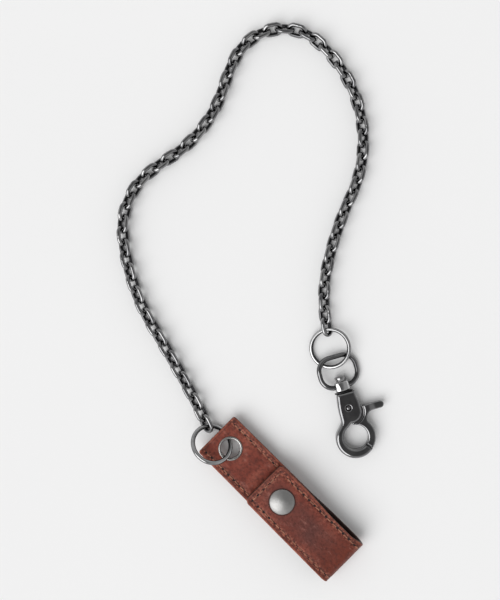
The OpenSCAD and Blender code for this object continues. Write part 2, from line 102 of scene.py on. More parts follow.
# Rings and swivel eye
STRAP_RING_R = 9.7
STRAP_RING_WIRE = 2.2
CLIP_RING_R = 9.5
CLIP_RING_WIRE = 2.0
HOOK_HEADING = -30.0
EYE_WIRE = 2.4
EYE_W = 19.4
EYE_LEN = 15.2
EYE_CORNER = 6.5
EYE_LOW = -3.4
EYE_HIGH = EYE_LOW - EYE_LEN
EYE_LEAN = -10.0
# Hook, with u along its axis from the swivel
PIVOT_U = 7.8
HOOK_T = 5.6
HOOK_TOP_W = 9.2
CHEEK_R = 5.7
CHEEK_SHIFT = 0.6
NOSE_U = PIVOT_U + 2.2
HOLE_U = 22.8
HOLE_R = 6.1
BOW_R = 9.9
BOW_AT = (HOLE_U + 0.6, -0.3)
TIP_ANGLE = 41.0
ARM_ANGLE = -112.0
ARM_PULL = 2.7
SLOT_W = 3.2
HOOK_ROUND = 1.4
HUB_R = 3.0
SLOT_R = HUB_R + 0.3
PIN_R = 1.4
# Trigger with gate, neck and thumb tab
GATE_R = HOLE_R + 3.8
GATE_T = 4.6
GATE_START = TIP_ANGLE + 1
GATE_LAP = GATE_START + 82
TRIGGER_T = 2.8
SHOULDER_GAP = 1.1
TAB_R = 1.8
TAB_U = PIVOT_U + 2.3
TAB_ROOT = 7.0
TAB_FOOT = TAB_ROOT + 4.6
TAB_REACH = 17.8
NECK_PULL = 2.0
NECK_LOW = -51.0
NECK_HIGH = 123.0

low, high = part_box("back_outer")
STRAP_AT = np.array([low.x, (low.y + high.y) / 2, 0.0])


def row(points):
    """Points in the strap's frame, in millimetres, as row points in metres."""
    return np.asarray(points, float) * MM + STRAP_AT


def turn(axis, degrees):
    return np.array(Matrix.Rotation(math.radians(degrees), 3, axis))


def tilt(x, y, z):
    return turn("Z", z) @ turn("Y", y) @ turn("X", x)


def heading_line(degrees):
    a = math.radians(degrees)
    return np.array([math.cos(a), math.sin(a), 0.0])


# Materials


# Sockets of a colour mix node
MIX_SHARE, MIX_UNDER, MIX_OVER, MIX_RESULT = 0, 6, 7, 2


def set_stops(ramp, stops):
    """Sets a colour ramp's places and colours."""
    points = ramp.color_ramp.elements
    while len(points) < len(stops):
        points.new(0.5)
    for point, (at, color) in zip(points, stops):
        point.position = at
        point.color = (*color, 1)


class Shader:
    """A Principled material with short calls for its nodes."""

    def __init__(self, name, roughness, metallic=0.0):
        self.material = bpy.data.materials.new(name)
        self.material.use_nodes = True
        self.tree = self.material.node_tree
        self.bsdf = self.tree.nodes["Principled BSDF"]
        self.bsdf.inputs["Metallic"].default_value = metallic
        self.bsdf.inputs["Roughness"].default_value = roughness

    def feed(self, socket, value):
        """Links a node's output to a socket, or sets the socket to a constant."""
        if isinstance(value, bpy.types.NodeSocket):
            self.tree.links.new(value, socket)
        else:
            socket.default_value = value

    def node(self, kind, **inputs):
        made = self.tree.nodes.new(kind)
        for name, value in inputs.items():
            self.feed(made.inputs[name], value)
        return made

    def link(self, out, socket):
        self.tree.links.new(out, self.bsdf.inputs[socket])

    def attribute(self, name, output="Fac"):
        made = self.node("ShaderNodeAttribute")
        made.attribute_name = name
        return made.outputs[output]

    def spot(self):
        return self.node("ShaderNodeTexCoord").outputs["Object"]

    def noise(self, vector, scale, detail=4.0, rough=0.55):
        made = self.node("ShaderNodeTexNoise", Vector=vector, Scale=scale, Detail=detail, Roughness=rough)
        return made.outputs["Fac"]

    def stretch(self, vector, scale):
        return self.node("ShaderNodeMapping", Vector=vector, Scale=scale).outputs["Vector"]

    def ramp(self, value, stops):
        made = self.node("ShaderNodeValToRGB", Fac=value)
        set_stops(made, stops)
        return made.outputs["Color"]

    def grey(self, value, low_at, low_value, high_at, high_value):
        """A value mapped from one range to another and kept within it."""
        made = self.node("ShaderNodeMapRange", Value=value)
        ends = {"From Min": low_at, "From Max": high_at, "To Min": low_value, "To Max": high_value}
        for name, end in ends.items():
            made.inputs[name].default_value = end
        return made.outputs["Result"]

    def coat(self, share, under, color):
        """A plain colour laid over another by a share."""
        made = self.node("ShaderNodeMix")
        made.data_type = "RGBA"
        self.feed(made.inputs[MIX_SHARE], share)
        self.feed(made.inputs[MIX_UNDER], under)
        self.feed(made.inputs[MIX_OVER], (*color, 1))
        return made.outputs[MIX_RESULT]

    def both(self, a, b):
        """The product of two shares."""
        made = self.node("ShaderNodeMath")
        made.operation = "MULTIPLY"
        for socket, value in zip(made.inputs, (a, b)):
            self.feed(socket, value)
        return made.outputs[0]

    def bump(self, height, strength, distance, under=None):
        """A normal raised by a height over a distance in millimetres."""
        made = self.node("ShaderNodeBump", Height=height, Strength=strength, Distance=distance * MM)
        if under is not None:
            self.feed(made.inputs["Normal"], under)
        return made.outputs["Normal"]


# Leather colours
LEATHER_TONES = [
    (0.30, (0.105, 0.016, 0.009)),
    (0.44, (0.175, 0.032, 0.018)),
    (0.57, (0.235, 0.052, 0.031)),
    (0.72, (0.370, 0.122, 0.084)),
]
BRUISED = (0.106, 0.030, 0.023)
FOLDED = (0.112, 0.018, 0.007)
FLECKED = (0.050, 0.010, 0.006)
SCUFFED = (0.360, 0.150, 0.118)
# Painted shade in the creases and painted highlight on the ridges of the gathers beside the seams
CREASE_SHADE = (0.036, 0.009, 0.006)
RIDGE_HIGHLIGHT = (0.400, 0.135, 0.085)
SEWN = (0.045, 0.011, 0.007)
TOOLED = (0.040, 0.010, 0.007)
# Painted shadow: a dark ring on the leather round the snap cap
CAP_SHADOW = (0.022, 0.006, 0.004)
# Paler rubbed edges, partly a painted highlight along the rolled edge
WEAR_AND_HIGHLIGHT = (0.380, 0.130, 0.080)
# Dark ink on the cut edges, and painted shade in a band along the flap's free end
INK_AND_END_SHADE = (0.030, 0.009, 0.006)
# A darker inner face, deepened with painted shade inside the belt loop
LINING_AND_LOOP_SHADE = (0.012, 0.006, 0.005)
LEATHER_SHINE = 0.26
# Where the painted shadow round the snap cap sets in and fades out, past the cap's edge
CAP_SHADOW_START = 0.1
CAP_SHADOW_END = 0.9


def leather_material(snap_s, snap_r):
    """Waxed brown leather that pales where it is rubbed and darkens along seams and edges, with painted
    highlights on its edges and on the ridges of the gathers by the seams, painted shade in their creases, a
    painted shadow round the snap cap, and painted shade along the flap's end and inside the loop.
    """
    s = Shader("pull_up_leather", roughness=0.5)
    flat = s.attribute("flat", "Vector")
    edge, seam, pucker, bruise, fold, lining_shade, tooled, end_shade = (
        s.attribute(name)
        for name in ("edge", "seam", "pucker", "bruise", "fold", "lining_shade", "tooled", "end_shade")
    )
    cloud = s.noise(flat, 75, detail=6, rough=0.62)
    patch = s.noise(flat, 48, detail=3)
    fleck = s.noise(flat, 620, detail=5, rough=0.68)
    scuff = s.noise(s.stretch(flat, (150, 320, 320)), 1.0, detail=6, rough=0.72)
    crinkle = s.noise(flat, 780, detail=4, rough=0.65)
    from_snap = s.node("ShaderNodeVectorMath")
    from_snap.operation = "DISTANCE"
    s.feed(from_snap.inputs[0], flat)
    s.feed(from_snap.inputs[1], (snap_s * MM, 0, 0))
    snap_gap = from_snap.outputs["Value"]

    color = s.ramp(cloud, LEATHER_TONES)
    for share, tint in (
        (s.both(bruise, s.grey(patch, 0.30, 0.35, 0.62, 1.0)), BRUISED),
        (s.grey(fold, 0.0, 0.0, 1.0, 0.70), FOLDED),
        (s.grey(fleck, 0.30, 0.80, 0.55, 0.0), FLECKED),
        (s.grey(scuff, 0.56, 0.0, 0.72, 0.60), SCUFFED),
        # painted shade in the creases and painted highlight on the ridges of the gathers by the seams
        (s.both(pucker, s.grey(crinkle, 0.40, 0.85, 0.56, 0.0)), CREASE_SHADE),
        (s.both(pucker, s.grey(crinkle, 0.48, 0.0, 0.62, 0.80)), RIDGE_HIGHLIGHT),
        (s.grey(seam, 0.6, 0.0, 1.0, 0.45), SEWN),
        (s.both(s.grey(tooled, 0.35, 0.0, 0.95, 0.80), s.grey(fleck, 0.35, 1.0, 0.65, 0.45)), TOOLED),
        # painted shadow in a ring round the snap cap
        (s.grey(snap_gap, (snap_r + CAP_SHADOW_START) * MM, 0.85, (snap_r + CAP_SHADOW_END) * MM, 0.0), CAP_SHADOW),
        # paler rubbed edges, partly a painted highlight along the rolled edge
        (s.both(s.grey(edge, 0.20, 0.0, 0.65, 1.0), s.grey(fleck, 0.40, 0.15, 0.62, 0.75)), WEAR_AND_HIGHLIGHT),
        (s.grey(edge, 0.93, 0.0, 1.0, 1.0), INK_AND_END_SHADE),
        # painted shade along the flap's free end, over the gap beneath it
        (s.grey(end_shade, 0.2, 0.0, 0.8, 0.85), INK_AND_END_SHADE),
        # darker inner face with painted shade inside the belt loop
        (s.grey(lining_shade, 0.0, 0.0, 1.0, 0.92), LINING_AND_LOOP_SHADE),
    ):
        color = s.coat(share, color, tint)
    s.link(color, "Base Color")
    s.link(s.grey(cloud, 0.3, 0.60, 0.7, 0.42), "Roughness")
    s.bsdf.inputs["Specular IOR Level"].default_value = LEATHER_SHINE

    pores = s.node("ShaderNodeTexVoronoi", Vector=flat, Scale=1500.0)
    pores.feature = "DISTANCE_TO_EDGE"
    normal = s.bump(pores.outputs["Distance"], 0.25, 0.12)
    normal = s.bump(s.noise(flat, 2600, detail=3), 0.18, 0.10, normal)
    normal = s.bump(crinkle, 0.50, 0.25, normal)
    normal = s.bump(s.noise(flat, 190, detail=4), 0.45, 0.40, normal)
    s.link(normal, "Normal")
    return s.material


THREAD_TONES = [
    (0.30, (0.170, 0.055, 0.028)),
    (0.55, (0.290, 0.112, 0.062)),
    (0.75, (0.450, 0.215, 0.130)),
]
THREAD_SHEEN = 0.15
# Painted shade: near-black discs sunk in the stitch holes
HOLE_SHADE_TONES = [(0.3, (0.007, 0.003, 0.003)), (0.7, (0.022, 0.008, 0.006))]
# Tone of the painted shade on wire loops and in the hook's notch
PAINTED_SHADE = (0.030, 0.030, 0.032)


def thread_material():
    s = Shader("waxed_thread", roughness=0.6)
    along = s.attribute("flat", "Vector")
    s.link(s.ramp(s.noise(along, 420, detail=3), THREAD_TONES), "Base Color")
    twist = s.node("ShaderNodeTexWave", Vector=along, Scale=760.0, Distortion=1.2, Detail=1.0)
    twist.bands_direction = "DIAGONAL"
    s.link(s.bump(twist.outputs["Fac"], 0.5, 0.10), "Normal")
    s.bsdf.inputs["Sheen Weight"].default_value = THREAD_SHEEN
    return s.material


def hole_shade_material():
    # Painted shade in the stitch holes
    s = Shader("stitch_hole_shade", roughness=0.9)
    s.link(s.ramp(s.noise(s.spot(), 900), HOLE_SHADE_TONES), "Base Color")
    return s.material


def plated(name, dark, light, rough_low, rough_high, scratch=0.05):
    """Plated metal with uneven tone, painted shade where a piece marks it, hand marks in its polish and fine
    scratches.
    """
    s = Shader(name, metallic=1.0, roughness=rough_low)
    spot = s.spot()
    tone = s.noise(spot, 140, detail=5, rough=0.6)
    color = s.ramp(tone, [(0.35, dark), (0.68, light)])
    # painted shade where a piece marks it
    s.link(s.coat(s.attribute("painted_shade"), color, PAINTED_SHADE), "Base Color")
    smear = s.noise(s.stretch(spot, (1.0, 1.0, 2.5)), 420, detail=5, rough=0.65)
    s.link(s.grey(smear, 0.3, rough_low, 0.75, rough_high), "Roughness")
    marks = s.noise(s.stretch(spot, (260, 2600, 900)), 1.0, detail=3, rough=0.6)
    dents = s.noise(spot, 700, detail=2)
    normal = s.bump(marks, scratch, 0.05)
    s.link(s.bump(dents, scratch, 0.10, normal), "Normal")
    return s.material


THREAD = thread_material()
HOLE_SHADE = hole_shade_material()
GUNMETAL = plated("black_nickel", (0.160, 0.160, 0.165), (0.340, 0.338, 0.340), 0.03, 0.10)
RING_METAL = plated("bright_nickel", (0.380, 0.380, 0.384), (0.620, 0.618, 0.620), 0.03, 0.10)
HOOK_METAL = plated("black_nickel_cast", (0.180, 0.180, 0.185), (0.290, 0.288, 0.290), 0.06, 0.15, 0.08)
NICKEL = plated("antique_nickel", (0.230, 0.225, 0.218), (0.400, 0.394, 0.382), 0.16, 0.30, 0.10)
SATIN = plated("satin_nickel", (0.270, 0.266, 0.260), (0.370, 0.366, 0.360), 0.40, 0.52, 0.10)
PIN_METAL = plated("dark_rivet", (0.130, 0.130, 0.134), (0.220, 0.218, 0.220), 0.14, 0.28)
STEEL = plated("plain_steel", (0.420, 0.420, 0.420), (0.600, 0.600, 0.600), 0.25, 0.40)
# A near-black washer between the eye's boss and the hook
BLACK = plated("near_black_washer", (0.020, 0.020, 0.021), (0.050, 0.050, 0.052), 0.35, 0.55)


# Mesh helpers


def new_object(name, data):
    made = bpy.data.objects.new(name, data)
    bpy.context.scene.collection.objects.link(made)
    return made


def mesh_piece(name, points, faces, materials, face_slots=None):
    """A smooth piece from points in the strap's frame."""
    mesh = bpy.data.meshes.new(name)
    mesh.from_pydata([tuple(p) for p in row(points)], [], [tuple(f) for f in faces])
    for material in materials:
        mesh.materials.append(material)
    mesh.polygons.foreach_set("use_smooth", [True] * len(mesh.polygons))
    if face_slots is not None:
        mesh.polygons.foreach_set("material_index", face_slots)
    mesh.update()
    return new_object(name, mesh)


def add_floats(mesh, name, values):
    mesh.attributes.new(name, "FLOAT", "POINT").data.foreach_set("value", np.asarray(values, np.float32))


def add_vectors(mesh, name, values):
    flat = np.asarray(values, np.float32).ravel()
    mesh.attributes.new(name, "FLOAT_VECTOR", "POINT").data.foreach_set("vector", flat)


class Pile:
    """Collects points and faces of several simple forms for one mesh."""

    def __init__(self):
        self.points = []
        self.faces = []
        self.slots = []
        self.flat = []

    def add(self, points, faces, slot=0, flat=None):
        start = len(self.points)
        self.points.extend(points)
        self.faces.extend([tuple(start + i for i in face) for face in faces])
        self.slots.extend([slot] * len(faces))
        self.flat.extend(points if flat is None else flat)

    def piece(self, name, materials):
        return mesh_piece(name, self.points, self.faces, materials, self.slots)


def ring_faces(rings, sides, closed):
    faces = []
    for i in range(rings if closed else rings - 1):
        a, b = i * sides, (i + 1) % rings * sides
        for j in range(sides):
            k = (j + 1) % sides
            faces.append((a + j, b + j, b + k, a + k))
    return faces


def flat_loop_tube(path, outward, radii, sides):
    """A closed tube round a loop that lies in the XY plane, with its points in the loop's own frame."""
    b = np.arange(sides) * 2 * math.pi / sides
    out = np.cos(b)[None, :, None] * outward[:, None, :]
    up = np.sin(b)[None, :, None] * np.array([0, 0, 1.0])[None, None, :]
    points = path[:, None, :] + radii[:, None, None] * (out + up)
    return points.reshape(-1, 3), ring_faces(len(path), sides, True)


# How a wire's painted shade falls from its inside and rises to its outer rim
INNER_TONE = 0.15
INNER_SLOPE = 1.3
OUTER_TONE = 0.75
OUTER_SLOPE = 1.6


def paint_loop_shade(piece, sides, outer=0.0):
    """Paints shade on the inner half of a piece's wire loops, and by a share along their outer rim."""
    out = np.cos(np.arange(sides) * 2 * math.pi / sides)
    inner_dark = np.clip(INNER_TONE - INNER_SLOPE * out, 0, 1)
    dark = inner_dark + outer * np.clip(OUTER_SLOPE * out - OUTER_TONE, 0, 1)
    add_floats(piece.data, "painted_shade", np.tile(dark, len(piece.data.vertices) // sides))
    return piece


def lathe(profile, segments):
    """A solid of revolution about Z, from a closed profile or from an open one that ends on the axis."""
    on_axis = profile[0][0] == 0
    inner = profile[1:-1] if on_axis else profile
    points = []
    for i in range(segments):
        a = 2 * math.pi * i / segments
        points += [(r * math.cos(a), r * math.sin(a), z) for r, z in inner]
    first, last = len(points), len(points) + 1
    faces = []
    n = len(inner)
    for i in range(segments):
        a, b = i * n, (i + 1) % segments * n
        for j in range(n - 1 if on_axis else n):
            k = (j + 1) % n
            faces.append((a + j, b + j, b + k, a + k))
        if on_axis:
            faces += [(first, b, a), (last, a + n - 1, b + n - 1)]
    if on_axis:
        points += [(0, 0, profile[0][1]), (0, 0, profile[-1][1])]
    return np.array(points), faces


def fade(low, high, value):
    """Rises from 0 to 1 between two values."""
    return np.clip((value - low) / (high - low), 0, 1)


def smooth(low, high, value):
    """Rises from 0 to 1 between two values, level at both ends."""
    t = fade(low, high, value)
    return t * t * (3 - 2 * t)


def bell(gap, width):
    return np.exp(-((gap / width) ** 2))


def curve(start, first, second, end, steps):
    """A smooth curve that leaves its start towards one point and comes to its end from another."""
    t = np.linspace(0, 1, steps + 1)[:, None]
    a, b, c, d = (np.asarray(point, float) for point in (start, first, second, end))
    return (1 - t) ** 3 * a + 3 * (1 - t) ** 2 * t * b + 3 * (1 - t) * t**2 * c + t**3 * d


def arc(mid, r, start, end, steps):
    a = np.radians(np.linspace(start, end, steps + 1))
    return np.stack([mid[0] + r * np.cos(a), mid[1] + r * np.sin(a)], 1)


TINY = 1e-12


def outline_depth(outline, u, v):
    """Distance from points of a plane to a closed outline, below zero inside it."""
    nearest = np.full(u.shape, np.inf)
    inside = np.zeros(u.shape, bool)
    for (au, av), (bu, bv) in zip(outline, np.roll(outline, -1, 0)):
        du, dv = bu - au, bv - av
        size = max(du * du + dv * dv, TINY)
        t = np.clip(((u - au) * du + (v - av) * dv) / size, 0, 1)
        nearest = np.minimum(nearest, (u - au - t * du) ** 2 + (v - av - t * dv) ** 2)
        if dv != 0:
            inside ^= ((av > v) != (bv > v)) & (u < au + (v - av) * du / dv)
    return np.where(inside, -1, 1) * np.sqrt(nearest)


def rounded_slab(depth, w, half, r):
    """The field of a flat plate whose edges are rolled over."""
    side, face = depth + r, np.abs(w) - half + r
    return np.minimum(np.maximum(side, face), 0) + np.hypot(np.maximum(side, 0), np.maximum(face, 0)) - r


def skin(field, low, step):
    """The surface on which a field of grid values is zero, as points and quads."""
    shape = np.array(field.shape) - 1
    total, count = np.zeros((*shape, 3)), np.zeros(shape)
    for axis in range(3):
        for corner in ((0, 0), (0, 1), (1, 0), (1, 1)):
            start = list(corner)
            start.insert(axis, 0)
            end = list(start)
            end[axis] = 1
            a, b = (field[tuple(slice(o, o + n) for o, n in zip(at, shape))] for at in (start, end))
            crosses = (a < 0) != (b < 0)
            part = np.where(crosses, a / np.where(crosses, a - b, 1), 0)
            for k in range(3):
                total[..., k] += crosses * start[k] + (part if k == axis else 0)
            count += crosses
    used = count > 0
    number = np.full(tuple(shape), -1)
    number[used] = np.arange(used.sum())
    points = low + step * (np.argwhere(used) + total[used] / count[used][:, None])
    quads = []
    for axis in range(3):
        second, third = (axis + 1) % 3, (axis + 2) % 3
        near = np.take(field, range(shape[axis]), axis) < 0
        far = np.take(field, range(1, shape[axis] + 1), axis) < 0
        at = np.argwhere(near != far)
        ring = []
        for b, c in ((1, 1), (0, 1), (0, 0), (1, 0)):
            cell = at.copy()
            cell[:, second] -= b
            cell[:, third] -= c
            ring.append(number[tuple(cell.T)])
        ring = np.stack(ring, 1)
        leaves = near[tuple(at.T)]
        quads.append(np.where(leaves[:, None], ring, ring[:, ::-1]))
    return points, np.concatenate(quads).tolist()


def dress(piece, body, slot, *nodes):
    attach(piece, body)
    if nodes:
        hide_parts(*nodes)
    return piece


def face_out(piece):
    """Deletes a piece's loose points and turns its faces outward."""
    work = bmesh.new()
    work.from_mesh(piece.data)
    bmesh.ops.delete(work, geom=[v for v in work.verts if not v.link_faces], context="VERTS")
    bmesh.ops.recalc_face_normals(work, faces=work.faces)
    work.to_mesh(piece.data)
    work.free()


# Belt loop

# One edge of the flap draws in past the fold and comes out again, between these places from the flap's start
FLAP_DRAW = 0.95
DRAW_IN = (-3, 3)
DRAW_OUT = (34, 14)
# Sewn groove, tooled line and the gathers beside the seam
SEAM_W = 0.55
SEAM_DEPTH = 0.16
CREASE_INSET = 1.25
CREASE_W = 0.32
CREASE_DEPTH = 0.10
PUCKER_W = 1.5
PUCKER_OUT = 0.3
# Noise scale, seed and height of the leather's slow waves
WAVES = ((0.055, 3, 0.10), (0.25, 9, 0.035))
# Heights and insets of the edge walls, with a shallow line where the two plies meet
EDGE_WALL = ((0.16, 0.0), (0.0, 0.11), (-0.16, 0.0))
# Where tones set in and are full: bruise from the flap's start, its end and its sides, fold tint from the
# fold's middle and the flap's start, the darker inner face with painted shade inside the loop along x
BRUISE_START = (0, 8)
BRUISE_END = (3, -11)
BRUISE_SIDE = (3.5, 8.5)
FOLD_START = (-4, 4)
FOLD_END = (16, 2)
LINING_SHADE_SPAN = (40, 60)
# Width of the painted shade along the flap's free end
END_SHADE_W = 0.6
# How fast the edge share falls away from the edges: the paler band with its painted highlight, and the edge
# ink
EDGE_BAND = 0.55
# Mesh steps: along the middle line, along the panels, across them, and in from their edges
PATH_STEP = 0.1
FOLD_STEPS = 180
STATION_STEP = 0.7
MIDDLE_COLUMNS = 25
EDGE_STEPS = [0, 0.03, 0.09, 0.18, 0.32, 0.5, 0.8, 1.2, 1.7, 2.2, 2.8, 3.4, 4.1]
EDGE_STRIP = 4.9
HOLE_MARGIN = 0.15
TEXTURE_GAP = 40.0
ON_EDGE = 1e-6


def half_width(x):
    return END_W / 2 + (FOLD_W - END_W) / 2 * x / STRAP_LEN


def back_under(x):
    return BACK_Z * (1 - smooth(STRAIGHT_END, STRAIGHT_END + DROP_LEN, x))


def strap_path():
    """The strap's middle line in XZ: along the back, round the fold and along the flap."""
    x = np.arange(0, FOLD_X, PATH_STEP)
    back = np.stack([x, back_under(x) + PLY_T], 1)
    fold = arc((FOLD_X, FOLD_R), FOLD_R - PLY_T, -90, 90, FOLD_STEPS - 1)
    x = np.arange(FOLD_X - PATH_STEP, FLAP_END - PATH_STEP / 2, -PATH_STEP)
    flap = np.stack([x, np.full_like(x, FLAP_TOP - PLY_T)], 1)
    return np.concatenate([back, fold, flap])


PATH = strap_path()
PATH_S = np.concatenate([[0], np.cumsum(np.hypot(*np.diff(PATH, axis=0).T))])
TANGENT = np.gradient(PATH, PATH_S, axis=0)
TANGENT /= np.linalg.norm(TANGENT, axis=1)[:, None]
S_END = PATH_S[-1]
S_MID_FOLD = PATH_S[np.argmax(PATH[:, 0])]
S_FLAP = S_END - (FOLD_X - FLAP_END)
LEATHER = leather_material(S_END - (SNAP_X - FLAP_END), CAP_R)


def on_strap(s, y, n):
    """A point of the strap: s along it from the grommet end, y across, n out from its middle line."""
    x, z, tx, tz = (np.interp(s, PATH_S, values) for values in (*PATH.T, *TANGENT.T))
    size = np.hypot(tx, tz)
    return np.stack([x + n * tz / size, y, z - n * tx / size], -1)


def strap_half(s):
    return half_width(np.interp(s, PATH_S, PATH[:, 0]))


def corner_drop(gap, r):
    """How far a rounded corner lies below its edge at a gap from its end."""
    gap = np.clip(gap, 0, r)
    return r - np.sqrt(r**2 - (r - gap) ** 2)


def half_width_at(s, free_low, free_high):
    """Half the strap's width at a station, drawn in where a free end has rounded corners."""
    half = strap_half(s)
    for free, corner, gap in ((free_low, END_CORNER, s), (free_high, FLAP_CORNER, S_END - s)):
        if free:
            half = half - corner_drop(gap, corner)
    return half


def flap_draw(s):
    """How far one edge of the flap has drawn in from the back's edge, which leaves a dark slot beside it."""
    return FLAP_DRAW * smooth(*DRAW_IN, s - S_FLAP) * smooth(*DRAW_OUT, s - S_FLAP)


def ripple(points, scale, seed):
    return np.array([noise.noise(Vector(p) * scale + Vector((seed, 0, 0))) for p in points])


def panel_grid(s_low, s_high, free_low, free_high):
    """Stations along a panel and places across it, closer near its edges, with its half width each side."""
    low_part = [s_low + v for v in EDGE_STEPS] if free_low else [s_low]
    high_part = [s_high - v for v in reversed(EDGE_STEPS)] if free_high else [s_high]
    count = int((high_part[0] - low_part[-1]) / STATION_STEP)
    between = np.linspace(low_part[-1], high_part[0], count)[1:-1]
    stations = np.concatenate([low_part, between, high_part])
    side = np.array(EDGE_STEPS + [EDGE_STRIP])
    middle = np.linspace(-1, 1, MIDDLE_COLUMNS)[1:-1]
    half = half_width_at(stations, free_low, free_high)[:, None]
    drawn = half - flap_draw(stations)[:, None]
    span = (drawn + half) / 2 - EDGE_STRIP
    y = np.concatenate([side - half, span * middle + (drawn - half) / 2, drawn - side[::-1]], 1)
    return np.repeat(stations[:, None], y.shape[1], 1), y, half, drawn


def panel_faces(removed):
    """Quads of a panel's two sides without the removed ones, and the open edges round what is left."""
    rows, cols = np.array(removed.shape) + 1
    total = rows * cols
    index = np.arange(total).reshape(rows, cols)
    faces, edges = [], {}
    for i, j in np.argwhere(~removed):
        quad = (index[i, j], index[i + 1, j], index[i + 1, j + 1], index[i, j + 1])
        faces += [quad[::-1], tuple(total + q for q in quad)]
        for a, b in zip(quad, quad[1:] + quad[:1]):
            if (b, a) in edges:
                del edges[b, a]
            else:
                edges[a, b] = True
    return faces, list(edges)


def leather_panel(name, s_low, s_high, free_low, free_high, hole):
    """Two sewn plies of the strap from one station to another, with rounded edges and worked leather."""
    s, y, half, drawn = panel_grid(s_low, s_high, free_low, free_high)
    from_side = np.where(y < 0, half + y, drawn - y)
    gap = np.full_like(s, np.inf)
    if free_low:
        gap = np.minimum(gap, s - s_low)
    if free_high:
        gap = np.minimum(gap, s_high - s)
    depth = np.minimum(from_side, gap)
    drop = np.maximum(corner_drop(from_side, EDGE_R), corner_drop(gap, EDGE_R))
    seam_gap = half - np.abs(y)
    if free_high:
        seam_gap = np.minimum(seam_gap, gap)
    seam = bell(seam_gap - SEAM_INSET, SEAM_W)
    tooled = bell(depth - CREASE_INSET, CREASE_W)

    flat = np.stack([s, y, 0 * s], -1).reshape(-1, 3)
    wave = sum(height * ripple(flat, scale, seed) for scale, seed, height in WAVES).reshape(s.shape)
    outer = PLY_T - drop - SEAM_DEPTH * seam - CREASE_DEPTH * tooled + wave
    inside = -PLY_T + drop + SEAM_DEPTH * seam + wave
    removed = np.zeros(np.array(s.shape) - 1, bool)
    if hole:
        mid_s = (s[1:, 1:] + s[:-1, :-1]) / 2 - GROMMET_X
        mid_y = (y[1:, 1:] + y[:-1, :-1]) / 2
        removed = np.hypot(mid_s, mid_y) < GROMMET_R + GROMMET_WALL + HOLE_MARGIN
    faces, edges = panel_faces(removed)

    rim = sorted({v for pair in edges for v in pair})
    place = {v: k for k, v in enumerate(rim)}
    rim_s, rim_y, rim_depth = (values.ravel()[rim] for values in (s, y, depth))
    draw = np.sign(rim_y) * (rim_depth < ON_EDGE) * (np.abs(rim_y) > 1)
    points = [on_strap(s, y, outer).reshape(-1, 3), on_strap(s, y, inside).reshape(-1, 3)]
    for n, inset in EDGE_WALL:
        points.append(on_strap(rim_s, rim_y - draw * inset, np.full_like(rim_s, n)))
    layers, wall_size = len(EDGE_WALL), len(EDGE_WALL) * len(rim)
    for pair in edges:
        a, b = (
            [v] + [2 * s.size + k * len(rim) + place[v] for k in range(layers)] + [s.size + v] for v in pair
        )
        faces += [(a[k], b[k], b[k + 1], a[k + 1]) for k in range(layers + 1)]
    piece = mesh_piece(name, np.concatenate(points), faces, [LEATHER])

    rim_flat = np.stack([rim_s, rim_y, np.full_like(rim_s, 2 * TEXTURE_GAP)], 1)
    all_flat = np.concatenate([flat, flat + [0, 0, TEXTURE_GAP]] + [rim_flat] * layers)
    add_vectors(piece.data, "flat", all_flat * MM)
    edge = np.exp(-depth / EDGE_BAND)
    along = fade(*BRUISE_START, s - S_FLAP) * fade(*BRUISE_END, s - S_END)
    bruise = along * fade(*BRUISE_SIDE, from_side)
    pucker = bell(seam_gap - SEAM_INSET + PUCKER_OUT, PUCKER_W)
    fold = fade(*FOLD_START, s - S_MID_FOLD) * fade(*FOLD_END, s - S_FLAP)
    # darker inner face with painted shade inside the loop, setting in along x
    lining_shade = smooth(*LINING_SHADE_SPAN, np.interp(s, PATH_S, PATH[:, 0]))
    # painted shade along the flap's free end
    end_shade = bell(s_high - s, END_SHADE_W) if free_high else 0 * s
    for share, outside, inner, wall in (
        ("edge", edge, edge, 1), ("seam", seam, seam, 0), ("lining_shade", 0 * s, lining_shade, 0),
        ("end_shade", end_shade, end_shade, 0), ("tooled", tooled, tooled, 0), ("pucker", pucker, pucker, 0),
        ("fold", fold, fold, 0), ("bruise", bruise, bruise, 0),
    ):
        values = np.concatenate([outside.ravel(), inner.ravel(), np.full(wall_size, wall)])
        add_floats(piece.data, share, values)
    face_out(piece)
    return piece


# A stitch's thread and its two holes, along the seam, across it and below the leather's face
STITCH_INSET = 0.42
THREAD_STEPS = 8
THREAD_SIDES = 8
THREAD_BOW = 0.56
THREAD_SINK = 0.58
THREAD_TAPER = 0.25
THREAD_PRESS = 0.8
HOLE_SIDES = 10
HOLE_INSET = 0.12
HOLE_LONG = 0.62
HOLE_WIDE = 0.52
HOLE_RIM = 0.075
HOLE_DEEP = 0.12
SEAM_STOP = 1.0
INNER_SEAM_STOP = 6.0
INNER_SEAM_START = 3.0


